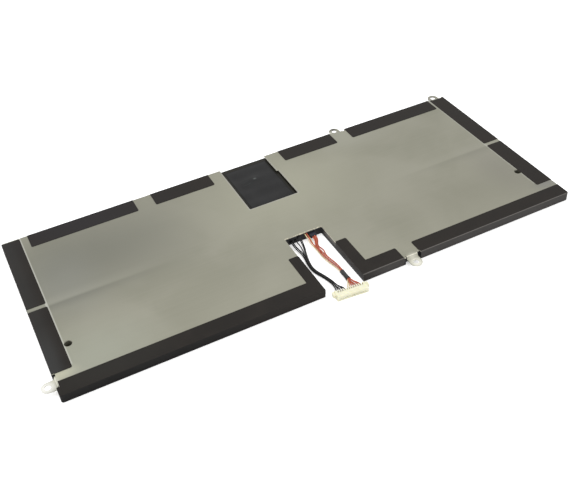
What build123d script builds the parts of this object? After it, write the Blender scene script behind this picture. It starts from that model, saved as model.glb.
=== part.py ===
from build123d import *
import math
import os

# Flat four-cell laptop battery pack, in millimetres.
# The origin is the centre of the underside: X runs along the pack, Y from the cable bay to the back edge,
# and Z up from the surface that the pack lies on.

# The stack, from the underside up
base_film_thickness = 0.15
cell_thickness = 4.05
cell_tape_thickness = 0.35
plate_thickness = 0.5
edge_tape_thickness = 0.15

# Plan of the pack, over its edge tapes
pack_length = 300.0
pack_width = 125.8
corner_radius = 1.0

# Cable bay, open through the pack and at its front edge
bay_width = 23.0
bay_centre = 2.4
bay_depth = 46.6
bay_corner_radius = 0.5

# Rear window in the sheet, open at the back edge, with a small step in its right side
window_width = 31.4
window_centre = 1.5
window_depth = 44.7
window_step = 1.1
window_step_depth = 18.2
window_corner_radius = 0.8
window_recess = 1.5

# Recessed black panel in the window
panel_thickness = 0.3
panel_tuck = 0.9
panel_ledge_width = 1.3
panel_ledge_thickness = 0.6

# Flange of the sheet, bent down along the right side of the cable bay
flange_depth = 2.65
flange_end_gap = 3.0
flange_bend_radius = 0.45
flange_clearance = 0.05

# Moulded frame
side_wall = 2.4
end_rim = 15.8
end_outer_wall = 1.4
end_inner_wall = 1.0
end_rib = 1.0
end_rib_count = 7
mid_rib = 1.2
column_half_width = 21.0
column_wall = 1.2
bay_wall = 1.2
window_rim = 1.0
rim_bridge = 1.2
bridge_count = 3
rail_width = 1.4
rail_inset = 2.8
room_corner_radius = 2.5

# Round locating holes near the two ends, each over a blind boss of the frame
locating_hole_radius = 2.1
locating_hole_rib = 2
locating_hole_offset = -1.275
locating_hole_left_inset = 12.8
locating_hole_right_inset = 11.4
locating_boss_wall = 0.9
locating_floor = 1.2

# Pouch cells
cell_clearance = 0.25
cell_corner_radius = 2.2
cell_edge_radius = 0.9
terrace_length = 4.0
terrace_thickness = 0.35
terrace_inset = 1.2
seam_thickness = 0.3
seam_height = 2.6
cell_tape_inset = 4.0

# Cell tabs and the plates that they are welded to
tab_thickness = 0.15
tab_width = 4.4
tab_length = 5.2
tab_near = 8.0
tab_far = 22.0
weld_plate_thickness = 0.2
weld_plate_length = 2.6
weld_plate_width = 5.0
tab_slot_clearance = 0.3

# Circuit board
board_thickness = 0.8
board_standoff = 0.6
board_clearance = 0.3
board_leg_reach = 14.5
board_back_gap = 2.4
board_headroom = 0.1
chip_edge_share = 0.125

# Parts on the board: size, places from the window's middle, and turn
capacitor_places = [(2.6 * i - 10.0, -13.5) for i in range(6)] + [(11.0, 2.4 * i - 10.0) for i in range(5)]
board_parts = {
    "controller_chip": ((7.8, 6.4, 1.0), [(-4.0, -4.0)], 0),
    "protector_chip": ((3.0, 3.0, 0.8), [(5.5, -5.0)], 0),
    "switch_transistors": ((4.9, 5.9, 0.9), [(-7.0, 6.0), (0.0, 6.0)], 0),
    "fuse": ((5.4, 3.8, 1.1), [(8.5, 6.0)], 90),
    "sense_resistor": ((6.3, 3.2, 0.6), [(0.0, -28.0)], 0),
    "thermistor": ((1.6, 0.8, 0.6), [(-15.0, -28.0)], 90),
    "capacitors": ((1.6, 0.8, 0.8), capacitor_places, 90),
}

# Screw ears, bent down out of the cover sheet
ear_width = 6.8
ear_hole_radius = 1.6
ear_reach = 3.6
ear_drop = 1.9
ear_bend_run = 1.0
ear_fold_inset = 0.9
ear_notch_depth = 1.5
ear_bend_radius = 0.2
ear_slot_near = 0.7
ear_slot_far = 2.0
pocket_depth = 1.7
ear_back_x = 68.5
ear_corner_inset = 4.8
ear_front_x = 44.3
ear_left_inset = 9.9

# Edge tapes: how they fold, how far they reach, and where they end along the edges
tape_foot = 0.35
tape_crown_radius = 0.13
tape_corner_radius = 0.9
back_tape_reach = 11.6
front_tape_reach = 9.6
end_tape_reach = 10.4
back_tape_left_inset = 15.0
back_tape_gap = (-71.0, -60.0)
back_tape_window_gap_left = 8.1
back_tape_window_gap_right = 8.4
back_tape_ear_gap_left = 5.6
back_tape_ear_gap_right = 5.5
back_tape_right_inset = 11.8
end_tape_back_inset = 0.9
end_tape_middle_gap = (-0.5, 2.2)
end_tape_front_inset = 15.0
front_tape_ear_gap_left = 5.2
front_tape_ear_gap_right = 4.9
bay_leg_left_width = 5.9
bay_leg_right_width = 6.7
bay_leg_end_gap = 15.7

# Wires
wire_diameter = 0.68
thin_wire_diameter = 0.55
wire_pitch = 0.71
wire_lift = 0.05
joint_length = 1.4
joint_width = 0.7
joint_height = 0.9
joint_back_y = 6.2
joint_gap = 0.2
slot_margin = 0.25
arc_share = 0.45

# All places of wires, of what they go through and of the plug are counted from the middle of the bay's
# back face: X and Y run as the pack's do, and Z is the height over the surface that the pack lies on.
# A wire that leaves the wall by itself goes through a low slot or a high notch: its heights just behind
# the wall and in front of it.
low_exit = (2.25, 2.05)
high_exit = (3.6, 3.9)

# Each of these wires: its place across the wall, its way out, and its place across and height at the fan
single_wires = {
    "black_1": (-8.2, low_exit, -7.9, 1.35),
    "black_2": (-7.4, low_exit, -7.15, 1.6),
    "black_3": (-5.2, low_exit, -4.8, 1.6),
    "black_4": (-3.4, high_exit, -3.65, 1.8),
    "black_5": (-2.65, high_exit, -2.9, 1.6),
    "white": (0.95, high_exit, 0.55, 2.3),
    "yellow": (2.85, low_exit, 2.25, 1.7),
    "red_1": (1.95, high_exit, 1.35, 2.4),
}
wire_slots = [
    ("black_1", "black_2"),
    ("black_3", "black_3"),
    ("black_4", "black_5"),
    ("white", "red_1"),
    ("yellow", "yellow"),
]
wall_entry_y = 1.9
wall_run = 1.8
fan_y = -6.8

# Block that holds four of the red wires in the bay's back wall, and the wires' starts on its front face,
# across and up from its lower left corner
grommet_width = 3.6
grommet_centre_x = 5.1
grommet_length = 6.4
grommet_height = 1.75
grommet_front_gap = 3.0
grommet_clearance = 0.1
grommet_run = 2.8
grommet_starts = [(1.1, 0.85), (1.85, 0.45), (2.15, 1.3), (2.95, 0.8)]

# Routes of the two bundles through the bay: x, y, z and how loosely the wires lie together there
black_route = [
    (-5.9, -12.6, 1.4, 1.45),
    (-7.0, -18.1, 1.1, 1.08),
    (-7.65, -23.3, 1.0, 1.05),
    (-7.15, -27.7, 1.0, 1.05),
    (-5.65, -31.6, 1.0, 1.05),
    (-4.4, -35.5, 1.1, 1.05),
    (-3.6, -39.5, 1.35, 1.05),
    (-3.4, -43.3, 1.65, 1.3),
]
red_route = [
    (2.4, -10.2, 1.6, 1.3),
    (2.5, -14.6, 1.35, 1.15),
    (2.7, -19.0, 1.25, 1.4),
    (3.4, -23.2, 1.25, 1.4),
    (4.1, -27.5, 1.35, 1.3),
    (4.8, -32.1, 1.5, 1.02),
    (4.8, -37.8, 1.53, 1.02),
    (4.7, -43.3, 1.6, 1.02),
]

# Each wire's place in its bundle, across and up, as shares of the wires' spacing
black_lanes = [(-1.0, -0.45), (-0.5, 0.45), (0.0, -0.45), (0.5, 0.45), (1.0, -0.45)]
red_lanes = [(-1.0, 0.0), (-0.5, -0.87), (-0.5, 0.87), (0.0, 0.0), (0.5, -0.87), (0.5, 0.87), (1.0, 0.0)]
upward_looseness = 1.15
red_5_loop = 1.7

# Sleeve on the last, straight stretch of the red bundle's route
sleeve_stretch = red_route[5:]
sleeve_wall = 0.12
sleeve_clearance = 0.06
sleeve_start = 2.7
sleeve_length = 6.5

# Plug, with an open slot over each wire at its back and a pin hole in its front wall
plug_pitch = 1.25
plug_ways = 12
plug_end_wall = 1.4
plug_depth = 5.2
plug_height = 3.4
plug_x = 1.5
plug_back_y = -48.5
plug_angle = -5.0
plug_run = 1.2
plug_chamfer = 0.25
cavity_width = 0.98
cavity_height = 1.4
plug_slot_width = 0.8
plug_slot_length = 2.0
plug_front_wall = 0.6
pin_hole_width = 0.5
pin_hole_height = 0.6
plug_lug = 1.5
plug_lug_length = 2.8
plug_lug_height = 1.7
plug_lug_setback = 0.3
plug_lug_bottom = 1.3
plug_lug_radius = 0.6
wire_entry = 2.2
contact_width = 0.7
contact_height = 0.9
contact_gap = 0.1

# Heights worked out from the stack
film_top = base_film_thickness
frame_top = film_top + cell_thickness + cell_tape_thickness
plate_top = frame_top + plate_thickness
pack_top = plate_top + edge_tape_thickness
board_bottom = film_top + board_standoff
board_top = board_bottom + board_thickness
tab_bottom = board_top + weld_plate_thickness
panel_top = plate_top - window_recess
panel_bottom = panel_top - panel_thickness
wire_z = board_top + wire_diameter / 2 + wire_lift
grommet_z = (board_top + wire_lift, board_top + wire_lift + grommet_height)

# Plan places worked out from the sizes
half_length = pack_length / 2 - edge_tape_thickness
half_width = pack_width / 2 - edge_tape_thickness
bay_left = bay_centre - bay_width / 2
bay_right = bay_centre + bay_width / 2
bay_back = bay_depth - pack_width / 2
window_left = window_centre - window_width / 2
window_right = window_centre + window_width / 2
window_front = pack_width / 2 - window_depth
room_outer = half_length - end_rim
room_inner = column_half_width + column_wall
room_side = half_width - side_wall
end_pocket_step = (2 * room_side + end_rib) / (end_rib_count + 1)
bay_place = Pos(bay_centre, bay_back, 0)
joint_front_y = joint_back_y - joint_length
grommet_x = (grommet_centre_x - grommet_width / 2, grommet_centre_x + grommet_width / 2)
ear_corner_x = pack_length / 2 - ear_corner_inset
ear_left_y = ear_left_inset - pack_width / 2
locating_hole_xs = (locating_hole_left_inset - pack_length / 2, pack_length / 2 - locating_hole_right_inset)
locating_rib_y = locating_hole_rib * end_pocket_step - room_side - end_rib / 2
locating_hole_y = locating_rib_y + locating_hole_offset
flange_y = (flange_end_gap - pack_width / 2, bay_back - flange_end_gap)
flange_z = (plate_top - flange_depth, frame_top)

# How far a cutting shape runs past what it cuts
cut_over = 1.0


def block(x, y, z):
    """A box between two places on each axis."""
    size = Box(x[1] - x[0], y[1] - y[0], z[1] - z[0])
    return Pos((x[0] + x[1]) / 2, (y[0] + y[1]) / 2, (z[0] + z[1]) / 2) * size


def round_block(x, y, z, radius):
    """A box with rounded upright edges."""
    face = RectangleRounded(x[1] - x[0], y[1] - y[0], radius)
    return Pos((x[0] + x[1]) / 2, (y[0] + y[1]) / 2, z[0]) * extrude(face, z[1] - z[0])


def bay_block(margin, z):
    """The cable bay's space, wider by a margin on its three closed sides."""
    x = (bay_left - margin, bay_right + margin)
    y = (-pack_width / 2 - cut_over - bay_corner_radius, bay_back + margin)
    return round_block(x, y, z, bay_corner_radius + margin)


def body_outline(z):
    """The pack's plan inside its edge tapes, with the cable bay cut out of it."""
    plan = round_block((-half_length, half_length), (-half_width, half_width), z, corner_radius)
    return plan - bay_block(0.0, (z[0] - cut_over, z[1] + cut_over))


def window_block(z):
    """The rear window's space, with the step in its right side, open past the back edge."""
    back = half_width + cut_over + window_corner_radius
    main = round_block((window_left, window_right), (window_front, back), z, window_corner_radius)
    step_y = pack_width / 2 - window_step_depth
    step = block((window_right - window_step, window_right + cut_over), (step_y, back + cut_over), z)
    return main - step


# Each ear's place: where it leaves the frame's outer face, the way that it points, and the side of its
# neck that has the wider slot
ears = [
    ("back", Pos(ear_back_x, half_width, 0), 1),
    ("corner", Pos(ear_corner_x, half_width, 0), -1),
    ("front", Pos(ear_front_x, -half_width, 0) * Rot(0, 0, 180), -1),
    ("left", Pos(-half_length, ear_left_y, 0) * Rot(0, 0, 90), 1),
]


def ear_notches(depth, z):
    """The space of the four ears in the edge, to a depth, over a range of heights."""
    cuts = []
    for name, place, wide_side in ears:
        near = ear_width / 2 + ear_slot_near
        far = near if name == "corner" else ear_width / 2 + ear_slot_far
        sides = (-near, far) if wide_side > 0 else (-far, near)
        cuts.append(place * block(sides, (-depth, cut_over), z))
    return cuts


def ear_solid():
    """One ear at the origin, pointing along +Y: a joggled neck that ends in a round eye."""
    ring_top = plate_top - ear_drop
    bend = math.atan2(ear_drop, ear_bend_run)
    shift = plate_thickness * math.tan(bend / 2)
    fold = -ear_fold_inset
    foot = fold + ear_bend_run
    outline = Polyline(
        (-ear_notch_depth, plate_top),
        (fold, plate_top),
        (foot, ring_top),
        (ear_reach, ring_top),
        (ear_reach, ring_top - plate_thickness),
        (foot - shift, ring_top - plate_thickness),
        (fold - shift, plate_top - plate_thickness),
        (-ear_notch_depth, plate_top - plate_thickness),
        close=True,
    )
    profile = make_face(outline)
    for corner, radius in [
        ((fold, plate_top), ear_bend_radius + plate_thickness / 2),
        ((foot, ring_top), ear_bend_radius),
        ((foot - shift, ring_top - plate_thickness), ear_bend_radius + plate_thickness / 2),
        ((fold - shift, plate_top - plate_thickness), ear_bend_radius),
    ]:
        vertex = profile.vertices().sort_by_distance(Vector(corner[0], corner[1], 0))[0]
        profile = fillet(vertex, radius)
    neck = extrude(Plane.YZ * profile, ear_width / 2, both=True)
    eye = Pos(0, ear_reach, ring_top - plate_thickness / 2) * Cylinder(ear_width / 2, plate_thickness)
    hole = Pos(0, ear_reach, ring_top) * Cylinder(ear_hole_radius, 4 * plate_thickness)
    return neck + eye - hole


def make_cover_plate():
    """The cover sheet: bay notch, rear window, two round holes and four ears."""
    z = (frame_top, plate_top)
    deep = (z[0] - cut_over, z[1] + cut_over)
    plate = body_outline(z) - window_block(deep)
    for x in locating_hole_xs:
        plate -= Pos(x, locating_hole_y, frame_top) * Cylinder(locating_hole_radius, 4 * plate_thickness)
    for notch in ear_notches(ear_notch_depth, deep):
        plate -= notch
    ear = ear_solid()
    for name, place, wide_side in ears:
        plate += place * ear
    plate += block((bay_right, bay_right + plate_thickness), flange_y, flange_z)
    bend_x = (bay_right - cut_over, bay_right + flange_bend_radius)
    bend_z = (plate_top - flange_bend_radius, plate_top + cut_over)
    bend = Cylinder(flange_bend_radius, flange_y[1] - flange_y[0], rotation=(90, 0, 0))
    return plate - (block(bend_x, flange_y, bend_z) - Pos(bend_x[1], sum(flange_y) / 2, bend_z[0]) * bend)


def make_base_film():
    """The plain film that closes the underside."""
    film = body_outline((0.0, film_top))
    for notch in ear_notches(pocket_depth, (-cut_over, film_top + cut_over)):
        film -= notch
    return film


def cell_rooms(z):
    """The four spaces that hold the cells."""
    rooms = []
    for side_x in (-1, 1):
        for side_y in (-1, 1):
            x = sorted((side_x * room_inner, side_x * room_outer))
            y = sorted((side_y * mid_rib / 2, side_y * room_side))
            rooms.append(round_block(x, y, z, room_corner_radius))
    return rooms


def end_pockets(z):
    """The row of open pockets between the two walls of each end rim."""
    x = (room_outer + end_inner_wall, half_length - end_outer_wall)
    pockets = []
    for side_x in (-1, 1):
        span = sorted((side_x * x[0], side_x * x[1]))
        for i in range(end_rib_count + 1):
            low = -room_side + i * end_pocket_step
            pockets.append(round_block(span, (low, low + end_pocket_step - end_rib), z, corner_radius))
    return pockets


def tab_slots():
    """The slots that let the cell tabs through the column's walls."""
    z = (board_top, tab_bottom + tab_thickness + tab_slot_clearance)
    reach = room_inner - tab_length - cell_clearance - tab_slot_clearance
    slots = []
    for side_x in (-1, 1):
        for side_y in (-1, 1):
            for place in (tab_near, tab_far):
                x = sorted((side_x * reach, side_x * (room_inner + cut_over)))
                half = weld_plate_width / 2 + tab_slot_clearance
                slots.append(block(x, (side_y * place - half, side_y * place + half), z))
    return slots


def wall_openings():
    """The slots and notches in the bay's back wall for the wires and their block."""
    y = (-cut_over, bay_wall + cut_over)
    margin = wire_diameter / 2 + slot_margin
    slots = []
    for first, last in wire_slots:
        x = (single_wires[first][0] - margin, single_wires[last][0] + margin)
        heights = single_wires[first][1]
        top = frame_top + cut_over if heights == high_exit else max(heights) + margin
        slots.append(block(x, y, (min(heights) - margin, top)))
    x = (grommet_x[0] - grommet_clearance, grommet_x[1] + grommet_clearance)
    slots.append(block(x, y, (grommet_z[0] - grommet_clearance, grommet_z[1] + grommet_clearance)))
    return [bay_place * slot for slot in slots]


def flange_room():
    """The recess in the bay's right wall that takes the sheet's flange."""
    x = (bay_right - cut_over, bay_right + plate_thickness + flange_clearance)
    y = (flange_y[0] - flange_clearance, flange_y[1] + flange_clearance)
    return block(x, y, (flange_z[0] - flange_clearance, frame_top + cut_over))


def board_plan(margin, z):
    """The board's plan: a wide part behind the bay and a leg on each side of it."""
    x = (-column_half_width + margin, column_half_width - margin)
    back = room_side - board_back_gap + board_clearance - margin
    plan = block(x, (bay_back - board_leg_reach + margin, back), z)
    return plan - bay_block(bay_wall + margin, (z[0] - cut_over, z[1] + cut_over))


def make_frame():
    """The moulded frame, with the rooms, pockets, rims, rails and slots that the other pieces need."""
    z = (film_top, frame_top)
    through = (film_top - cut_over, frame_top + cut_over)
    frame = body_outline(z)
    for room in cell_rooms(through) + end_pockets(through):
        frame -= room

    column = block((-column_half_width, column_half_width), (-room_side, room_side), through)
    column -= bay_block(bay_wall, (through[0] - cut_over, through[1] + cut_over))
    frame -= column

    rim_x = (
        window_left - panel_tuck - board_clearance - window_rim,
        window_right + panel_tuck + board_clearance + window_rim,
    )
    rim_front = window_front - panel_tuck - board_clearance - window_rim
    rim_bottom = board_top + board_headroom
    seat_x = (rim_x[0] + window_rim, rim_x[1] - window_rim)
    seat_front = rim_front + window_rim
    rim = block(rim_x, (rim_front, room_side), (rim_bottom, frame_top))
    cross = block((-column_half_width, column_half_width), (rim_front, seat_front), (rim_bottom, frame_top))
    for i in range(bridge_count):
        share = (i + 1) / (bridge_count + 1)
        y = rim_front + share * (room_side - rim_front)
        width = (y - rim_bridge / 2, y + rim_bridge / 2)
        cross += block((-column_half_width, column_half_width), width, (rim_bottom, frame_top))
    rim += cross
    rim -= block(seat_x, (seat_front, half_width), (panel_bottom, frame_top + cut_over))
    inner_x = (seat_x[0] + panel_ledge_width, seat_x[1] - panel_ledge_width)
    inner_front = seat_front + panel_ledge_width
    below = (rim_bottom - cut_over, panel_bottom - panel_ledge_thickness)
    rim -= block(seat_x, (seat_front, room_side + cut_over), below)
    rim -= block(inner_x, (inner_front, room_side - panel_ledge_width), (below[0], frame_top + cut_over))
    frame += rim
    frame -= block(seat_x, (seat_front, half_width + cut_over), (panel_bottom, frame_top + cut_over))

    rail_y = [
        bay_back + bay_wall + rail_inset,
        (bay_back + window_front) / 2 + rail_inset,
        (window_front + room_side) / 2,
        room_side - board_back_gap - rail_inset,
    ]
    for y in rail_y:
        width = (y - rail_width / 2, y + rail_width / 2)
        frame += block((-column_half_width, column_half_width), width, (film_top, board_bottom))
    leg_y = bay_back - board_leg_reach + rail_inset
    leg_width = (leg_y - rail_width / 2, leg_y + rail_width / 2)
    frame += block((-column_half_width, bay_left - bay_wall / 2), leg_width, (film_top, board_bottom))
    frame += block((bay_right + bay_wall / 2, column_half_width), leg_width, (film_top, board_bottom))

    for x in locating_hole_xs:
        height = frame_top - film_top
        boss = Cylinder(locating_hole_radius + locating_boss_wall, height)
        frame += Pos(x, locating_hole_y, film_top + height / 2) * boss
        bore = Cylinder(locating_hole_radius, height)
        frame -= Pos(x, locating_hole_y, film_top + locating_floor + height / 2) * bore

    for slot in tab_slots() + wall_openings() + [flange_room()]:
        frame -= slot
    for notch in ear_notches(pocket_depth, through):
        frame -= notch
    return frame


def make_board_cover():
    """The recessed panel in the rear window, on its ledge and over the lowered back wall."""
    x = (window_left - panel_tuck, window_right + panel_tuck)
    y = (window_front - panel_tuck, half_width)
    return block(x, y, (panel_bottom, panel_top))


def make_cell():
    """One pouch cell, as the one behind the middle rib on the left, with its seal towards +X."""
    outer = -room_outer + cell_clearance
    inner = -room_inner - cell_clearance
    y = (mid_rib / 2 + cell_clearance, room_side - cell_clearance)
    body_x = (outer, inner - terrace_length)
    body_y = (y[0] + seam_thickness, y[1] - seam_thickness)
    body = round_block(body_x, body_y, (film_top, film_top + cell_thickness), cell_corner_radius)
    rims = body.faces().sort_by(Axis.Z)
    body = fillet(rims[0].edges() + rims[-1].edges(), cell_edge_radius)
    middle = tab_bottom + tab_thickness / 2
    seal_z = (middle - terrace_thickness / 2, middle + terrace_thickness / 2)
    seal_y = (y[0] + terrace_inset, y[1] - terrace_inset)
    cell = body + block((inner - terrace_length - cell_corner_radius, inner), seal_y, seal_z)
    seam_x = (body_x[0] + cell_corner_radius, body_x[1] - cell_corner_radius)
    seam_z = (film_top + cell_edge_radius, film_top + cell_edge_radius + seam_height)
    overlap = seam_thickness
    cell += block(seam_x, (y[0], y[0] + seam_thickness + overlap), seam_z)
    cell += block(seam_x, (y[1] - seam_thickness - overlap, y[1]), seam_z)
    return cell


def make_cell_tape():
    """The double-sided tape on one cell, as the cell behind the middle rib on the left."""
    x = (
        -room_outer + cell_clearance + cell_tape_inset,
        -room_inner - cell_clearance - terrace_length - cell_tape_inset,
    )
    y = (mid_rib / 2 + cell_clearance + cell_tape_inset, room_side - cell_clearance - cell_tape_inset)
    return block(x, y, (film_top + cell_thickness, frame_top))


def in_quarter(shape, side_x, side_y):
    """A copy of a left back piece in one of the pack's four quarters."""
    if side_x > 0:
        shape = mirror(shape, about=Plane.YZ)
    if side_y < 0:
        shape = mirror(shape, about=Plane.XZ)
    return shape


def make_tab(place):
    """One cell tab, from the left back cell's seal to its weld plate."""
    start = -room_inner - cell_clearance
    y = (place - tab_width / 2, place + tab_width / 2)
    return block((start, start + tab_length), y, (tab_bottom, tab_bottom + tab_thickness))


def make_weld_plates():
    """The eight plates on the board, one under each tab's end."""
    plates = []
    tab_end = room_inner + cell_clearance - tab_length
    for side_x in (-1, 1):
        for side_y in (-1, 1):
            for place in (tab_near, tab_far):
                x = sorted((side_x * tab_end, side_x * (tab_end + weld_plate_length)))
                half = weld_plate_width / 2
                y = (side_y * place - half, side_y * place + half)
                plates.append(block(x, y, (board_top, tab_bottom)))
    return plates


def on_board(size, place, turn):
    """A board part with softened upper edges, at its place from the window's middle."""
    part = chamfer(Box(*size).faces().sort_by(Axis.Z)[-1].edges(), size[2] * chip_edge_share)
    x = window_centre + place[0]
    y = window_front + window_depth / 2 + place[1]
    return Pos(x, y, board_top + size[2] / 2) * Rot(0, 0, turn) * part


def make_board_parts():
    """The parts on the board, by node name."""
    return {
        name: [on_board(size, place, turn) for place in places]
        for name, (size, places, turn) in board_parts.items()
    }


def make_tapes():
    """The edge tapes by node name, each a strip on the sheet that folds down over the edge."""
    x = (-pack_length / 2, pack_length / 2)
    y = (-pack_width / 2, pack_width / 2)
    all_z = (tape_foot - cut_over, pack_top + cut_over)
    over = round_block(x, y, (tape_foot, pack_top), corner_radius + edge_tape_thickness)
    over = fillet(over.faces().sort_by(Axis.Z)[-1].edges(), tape_crown_radius)
    inside_x = (-half_length, half_length)
    inside_y = (-half_width, half_width)
    shell = over - round_block(inside_x, inside_y, (all_z[0], plate_top), corner_radius)
    for notch in ear_notches(ear_notch_depth, all_z):
        shell -= notch
    shell -= bay_block(0.0, all_z)
    out_x = pack_length / 2 + cut_over
    out_y = pack_width / 2 + cut_over
    r = tape_corner_radius

    back_y = (pack_width / 2 - back_tape_reach, out_y)
    back_spans = [
        (back_tape_left_inset - pack_length / 2, back_tape_gap[0]),
        (back_tape_gap[1], window_left - back_tape_window_gap_left),
        (window_right + back_tape_window_gap_right, ear_back_x - back_tape_ear_gap_left),
        (ear_back_x + back_tape_ear_gap_right, pack_length / 2 - back_tape_right_inset),
    ]
    regions = {}
    for i, span in enumerate(back_spans, 1):
        regions[f"back_tape_{i}"] = round_block(span, back_y, all_z, r)

    end_spans = {
        "back": (end_tape_middle_gap[1], pack_width / 2 - end_tape_back_inset),
        "front": (end_tape_front_inset - pack_width / 2, end_tape_middle_gap[0]),
    }
    for side, span in end_spans.items():
        left = (-out_x, -pack_length / 2 + end_tape_reach)
        right = (pack_length / 2 - end_tape_reach, out_x)
        regions[f"left_tape_{side}"] = round_block(left, span, all_z, r)
        regions[f"right_tape_{side}"] = round_block(right, span, all_z, r)

    front_y = (-out_y, -pack_width / 2 + front_tape_reach)
    leg_y = (-pack_width / 2 + front_tape_reach / 2, bay_back - bay_leg_end_gap)
    left_leg = (bay_left - bay_leg_left_width, bay_left)
    right_leg = (bay_right, bay_right + bay_leg_right_width)
    left_strip = round_block((-out_x, bay_left), front_y, all_z, r)
    middle_strip = round_block((bay_right, ear_front_x - front_tape_ear_gap_left), front_y, all_z, r)
    regions["front_tape_left"] = left_strip + round_block(left_leg, leg_y, all_z, r)
    regions["front_tape_middle"] = middle_strip + round_block(right_leg, leg_y, all_z, r)
    right_span = (ear_front_x + front_tape_ear_gap_right, out_x)
    regions["front_tape_right"] = round_block(right_span, front_y, all_z, r)
    tapes = {name: shell & region for name, region in regions.items()}
    fold_y = (-pack_width / 2, leg_y[1] - r)
    fold_z = (flange_z[0], pack_top)
    tapes["front_tape_left"] += block((bay_left, bay_left + edge_tape_thickness), fold_y, fold_z)
    tapes["front_tape_middle"] += block((bay_right - edge_tape_thickness, bay_right), fold_y, fold_z)
    return tapes


def in_bundle(route, lane, loop=0.0):
    """A wire's points: the bundle's route, moved sideways and up to the wire's lane."""
    points = []
    for i, (x, y, z, looseness) in enumerate(route):
        before = route[max(i - 1, 0)]
        after = route[min(i + 1, len(route) - 1)]
        heading = Vector(after[0] - before[0], after[1] - before[1], 0).normalized()
        across = lane[0] * wire_pitch * looseness + (loop if i == 1 else 0.0)
        up = lane[1] * wire_pitch * min(looseness, upward_looseness)
        points.append((x - heading.Y * across, y + heading.X * across, z + up))
    return points


def plug_place(x, y, z):
    """A point that is given from the middle of the plug's back face."""
    turned = Vector(x, y, z).rotate(Axis.Z, plug_angle)
    return (plug_x + turned.X, plug_back_y + turned.Y, turned.Z)


def wire_points():
    """Every wire's name, diameter and route, from its start to its contact in the plug."""
    wires = []

    def add(name, diameter, starts, middle):
        """Adds a wire with the next free way of the plug."""
        way = (len(wires) - (plug_ways - 1) / 2) * plug_pitch
        ends = [plug_place(way, plug_run, plug_height / 2), plug_place(way, -wire_entry, plug_height / 2)]
        wires.append((name, diameter, starts + middle + ends))

    def single(name):
        """The way from a wire's own joint on the board through the wall to the fan."""
        x, (z_behind, z_front), fan_x, fan_z = single_wires[name]
        joint = (x, joint_front_y - joint_gap, wire_z)
        return [joint, (x, wall_entry_y, z_behind), (x, -wall_run, z_front), (fan_x, fan_y, fan_z)]

    for i, lane in enumerate(black_lanes, 1):
        add(f"wire_black_{i}", wire_diameter, single(f"black_{i}"), in_bundle(black_route, lane))
    add("wire_white", thin_wire_diameter, single("white"), in_bundle(red_route, red_lanes[0]))
    add("wire_yellow", thin_wire_diameter, single("yellow"), in_bundle(red_route, red_lanes[1]))
    add("wire_red_1", wire_diameter, single("red_1"), in_bundle(red_route, red_lanes[2]))
    for i, (across, up) in enumerate(grommet_starts):
        x, z = grommet_x[0] + across, grommet_z[0] + up
        start = [(x, -grommet_front_gap, z), (x, -grommet_front_gap - grommet_run, z)]
        loop = red_5_loop if i == 3 else 0.0
        add(f"wire_red_{i + 2}", wire_diameter, start, in_bundle(red_route, red_lanes[i + 3], loop))
    return wires


def corner_radii(points):
    """The arc radius at each inner point: as large as its two runs allow."""
    radii = []
    for before, here, after in zip(points, points[1:], points[2:]):
        first = Vector(*here) - Vector(*before)
        second = Vector(*after) - Vector(*here)
        turn = math.radians(first.get_angle(second))
        radii.append(arc_share * min(first.length, second.length) / math.tan(turn / 2))
    return radii


def make_wire(name, diameter, points):
    """A tube of straight runs joined by tangent arcs."""
    radii = corner_radii(points)
    path = FilletPolyline(*points, radius=radii)
    start = Plane(origin=path @ 0, z_dir=path % 0)
    tube = sweep(start * Circle(diameter / 2), path=path)
    expected = math.pi * diameter**2 / 4 * path.length
    print(
        f"{name}: length {path.length:.1f}, smallest radius {min(radii):.1f}"
        f" ({min(radii) / diameter:.1f} diameters), volume ratio {tube.volume / expected:.4f}"
    )
    return bay_place * tube


def make_wire_joints():
    """The solder joints on the board, one at the end of each wire or behind the block."""
    xs = [wire[0] for wire in single_wires.values()]
    count = len(grommet_starts)
    xs += [grommet_x[0] + grommet_width * (i + 0.5) / count for i in range(count)]
    half = joint_width / 2
    z = (board_top, board_top + joint_height)
    return [bay_place * block((x - half, x + half), (joint_front_y, joint_back_y), z) for x in xs]


def make_grommet():
    """The block that holds four of the red wires in the bay's back wall."""
    y = (-grommet_front_gap, grommet_length - grommet_front_gap)
    return bay_place * block(grommet_x, y, grommet_z)


def make_bundle_sleeve():
    """The sleeve round the red bundle, along the straight stretch before the plug."""
    x, y, z, looseness = sleeve_stretch[0]
    start = Vector(x, y, z)
    along = (Vector(*sleeve_stretch[-1][:3]) - start).normalized()
    bore = looseness * wire_pitch + wire_diameter / 2 + sleeve_clearance
    plane = Plane(origin=start + along * sleeve_start, z_dir=along)
    ring = Circle(bore + sleeve_wall) - Circle(bore)
    return bay_place * extrude(plane * ring, sleeve_length)


def plug_width():
    """The plug's width over its ways and end walls."""
    return (plug_ways - 1) * plug_pitch + cavity_width + 2 * plug_end_wall


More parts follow.
